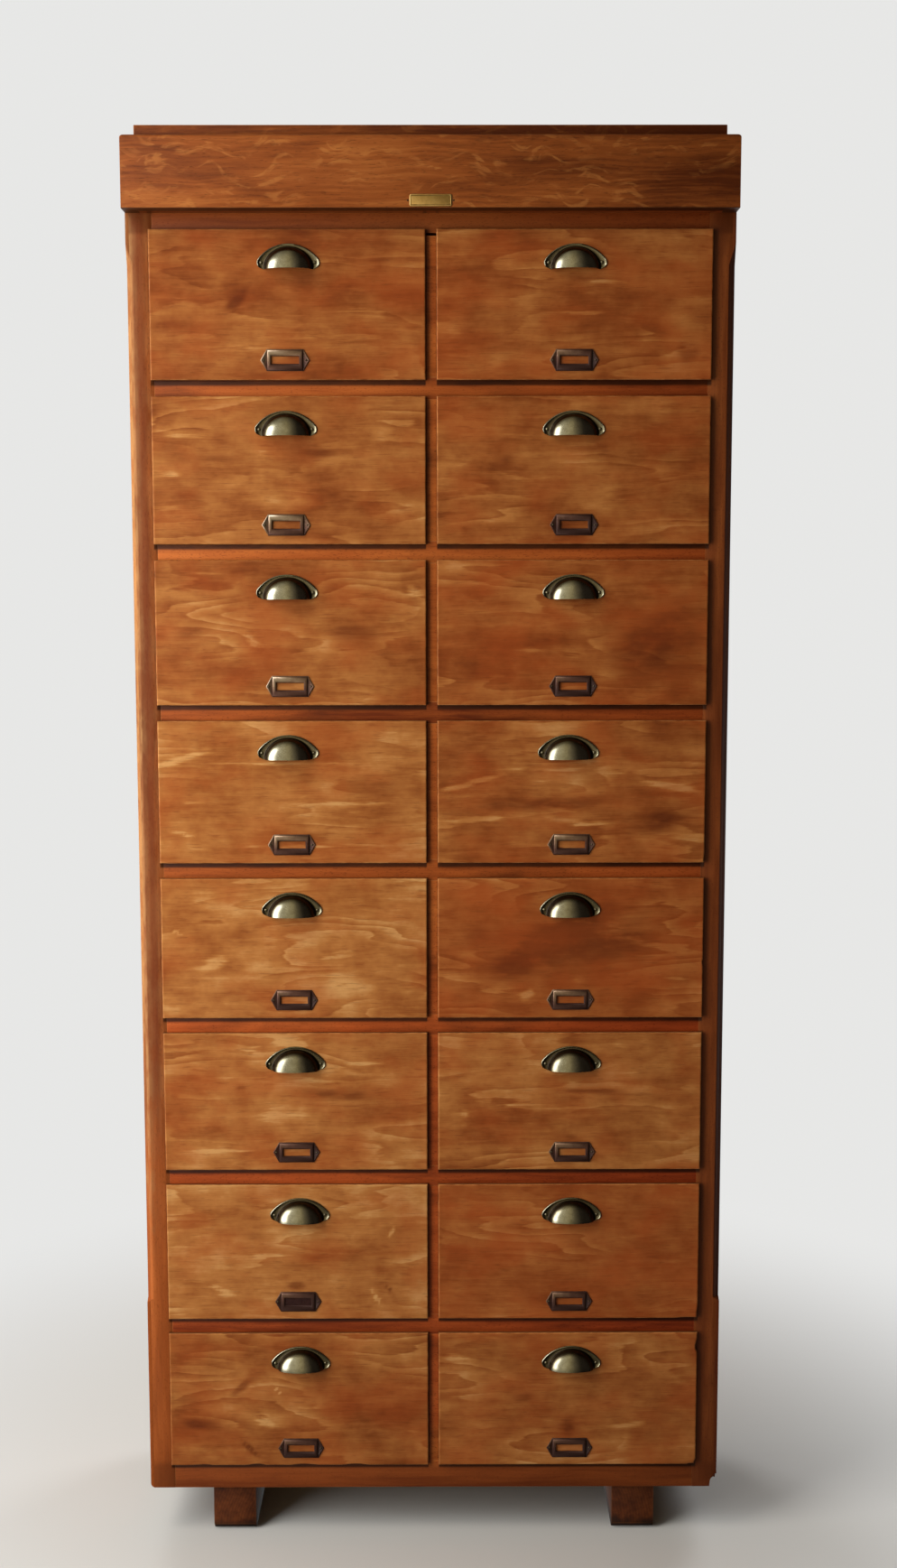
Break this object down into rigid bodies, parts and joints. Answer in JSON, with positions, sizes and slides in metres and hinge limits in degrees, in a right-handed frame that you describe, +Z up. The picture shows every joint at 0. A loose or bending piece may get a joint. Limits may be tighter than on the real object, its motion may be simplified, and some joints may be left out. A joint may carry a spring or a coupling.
{
  "type": "filing cabinet",
  "caption": "Tall free-standing wooden filing cabinet: side by side columns of shallow plywood-faced drawers with brass cup pulls and label holders, an overhanging cornice and skids below.",
  "frame": {"origin": "middle of the cabinet's footprint at the level on which the skids stand", "axes": "+Z up, -Y out of the drawer fronts, +X to the right of someone facing them"},
  "size_m": [0.88, 0.344, 2.1215],
  "materials": {
    "frame_beech": "worn satin varnish",
    "front_ply": "worn satin varnish",
    "side_ply": "worn satin varnish",
    "back_ply": "bare",
    "inner_wood": "bare",
    "drawer_wood": "bare",
    "cornice_oak": "satin varnish",
    "skid_wood": "worn",
    "antique_brass": "aged"
  },
  "bodies": {
    "carcass": {"corner_posts": "frame_beech", "side_panels": "side_ply", "back_panel": "back_ply", "centre_partition": "inner_wood", "front_rails": "frame_beech", "front_dividers": "frame_beech", "drawer_runners": "inner_wood", "bottom_board": "back_ply", "top_board": "back_ply", "cornice": "cornice_oak", "cap_board": "cornice_oak", "skids": "skid_wood"},
    "drawer_1_left": {"drawer_1_left_front": "front_ply", "drawer_1_left_box": "drawer_wood", "drawer_1_left_fittings": "antique_brass"},
    "drawer_1_right": {"drawer_1_right_front": "front_ply", "drawer_1_right_box": "drawer_wood", "drawer_1_right_fittings": "antique_brass"},
    "drawer_2_left": {"drawer_2_left_front": "front_ply", "drawer_2_left_box": "drawer_wood", "drawer_2_left_fittings": "antique_brass"},
    "drawer_2_right": {"drawer_2_right_front": "front_ply", "drawer_2_right_box": "drawer_wood", "drawer_2_right_fittings": "antique_brass"},
    "drawer_3_left": {"drawer_3_left_front": "front_ply", "drawer_3_left_box": "drawer_wood", "drawer_3_left_fittings": "antique_brass"},
    "drawer_3_right": {"drawer_3_right_front": "front_ply", "drawer_3_right_box": "drawer_wood", "drawer_3_right_fittings": "antique_brass"},
    "drawer_4_left": {"drawer_4_left_front": "front_ply", "drawer_4_left_box": "drawer_wood", "drawer_4_left_fittings": "antique_brass"},
    "drawer_4_right": {"drawer_4_right_front": "front_ply", "drawer_4_right_box": "drawer_wood", "drawer_4_right_fittings": "antique_brass"},
    "drawer_5_left": {"drawer_5_left_front": "front_ply", "drawer_5_left_box": "drawer_wood", "drawer_5_left_fittings": "antique_brass"},
    "drawer_5_right": {"drawer_5_right_front": "front_ply", "drawer_5_right_box": "drawer_wood", "drawer_5_right_fittings": "antique_brass"},
    "drawer_6_left": {"drawer_6_left_front": "front_ply", "drawer_6_left_box": "drawer_wood", "drawer_6_left_fittings": "antique_brass"},
    "drawer_6_right": {"drawer_6_right_front": "front_ply", "drawer_6_right_box": "drawer_wood", "drawer_6_right_fittings": "antique_brass"},
    "drawer_7_left": {"drawer_7_left_front": "front_ply", "drawer_7_left_box": "drawer_wood", "drawer_7_left_fittings": "antique_brass"},
    "drawer_7_right": {"drawer_7_right_front": "front_ply", "drawer_7_right_box": "drawer_wood", "drawer_7_right_fittings": "antique_brass"},
    "drawer_8_left": {"drawer_8_left_front": "front_ply", "drawer_8_left_box": "drawer_wood", "drawer_8_left_fittings": "antique_brass"},
    "drawer_8_right": {"drawer_8_right_front": "front_ply", "drawer_8_right_box": "drawer_wood", "drawer_8_right_fittings": "antique_brass"}
  },
  "joints": [
    {"name": "drawer_1_left_slide", "type": "slide", "parent": "carcass", "child": "drawer_1_left", "axis": [0, -1, 0], "range_m": [0, 0.23]},
    {"name": "drawer_1_right_slide", "type": "slide", "parent": "carcass", "child": "drawer_1_right", "axis": [0, -1, 0], "range_m": [0, 0.23]},
    {"name": "drawer_2_left_slide", "type": "slide", "parent": "carcass", "child": "drawer_2_left", "axis": [0, -1, 0], "range_m": [0, 0.23]},
    {"name": "drawer_2_right_slide", "type": "slide", "parent": "carcass", "child": "drawer_2_right", "axis": [0, -1, 0], "range_m": [0, 0.23]},
    {"name": "drawer_3_left_slide", "type": "slide", "parent": "carcass", "child": "drawer_3_left", "axis": [0, -1, 0], "range_m": [0, 0.23]},
    {"name": "drawer_3_right_slide", "type": "slide", "parent": "carcass", "child": "drawer_3_right", "axis": [0, -1, 0], "range_m": [0, 0.23]},
    {"name": "drawer_4_left_slide", "type": "slide", "parent": "carcass", "child": "drawer_4_left", "axis": [0, -1, 0], "range_m": [0, 0.23]},
    {"name": "drawer_4_right_slide", "type": "slide", "parent": "carcass", "child": "drawer_4_right", "axis": [0, -1, 0], "range_m": [0, 0.23]},
    {"name": "drawer_5_left_slide", "type": "slide", "parent": "carcass", "child": "drawer_5_left", "axis": [0, -1, 0], "range_m": [0, 0.23]},
    {"name": "drawer_5_right_slide", "type": "slide", "parent": "carcass", "child": "drawer_5_right", "axis": [0, -1, 0], "range_m": [0, 0.23]},
    {"name": "drawer_6_left_slide", "type": "slide", "parent": "carcass", "child": "drawer_6_left", "axis": [0, -1, 0], "range_m": [0, 0.23]},
    {"name": "drawer_6_right_slide", "type": "slide", "parent": "carcass", "child": "drawer_6_right", "axis": [0, -1, 0], "range_m": [0, 0.23]},
    {"name": "drawer_7_left_slide", "type": "slide", "parent": "carcass", "child": "drawer_7_left", "axis": [0, -1, 0], "range_m": [0, 0.23]},
    {"name": "drawer_7_right_slide", "type": "slide", "parent": "carcass", "child": "drawer_7_right", "axis": [0, -1, 0], "range_m": [0, 0.23]},
    {"name": "drawer_8_left_slide", "type": "slide", "parent": "carcass", "child": "drawer_8_left", "axis": [0, -1, 0], "range_m": [0, 0.23]},
    {"name": "drawer_8_right_slide", "type": "slide", "parent": "carcass", "child": "drawer_8_right", "axis": [0, -1, 0], "range_m": [0, 0.23]}
  ]
}
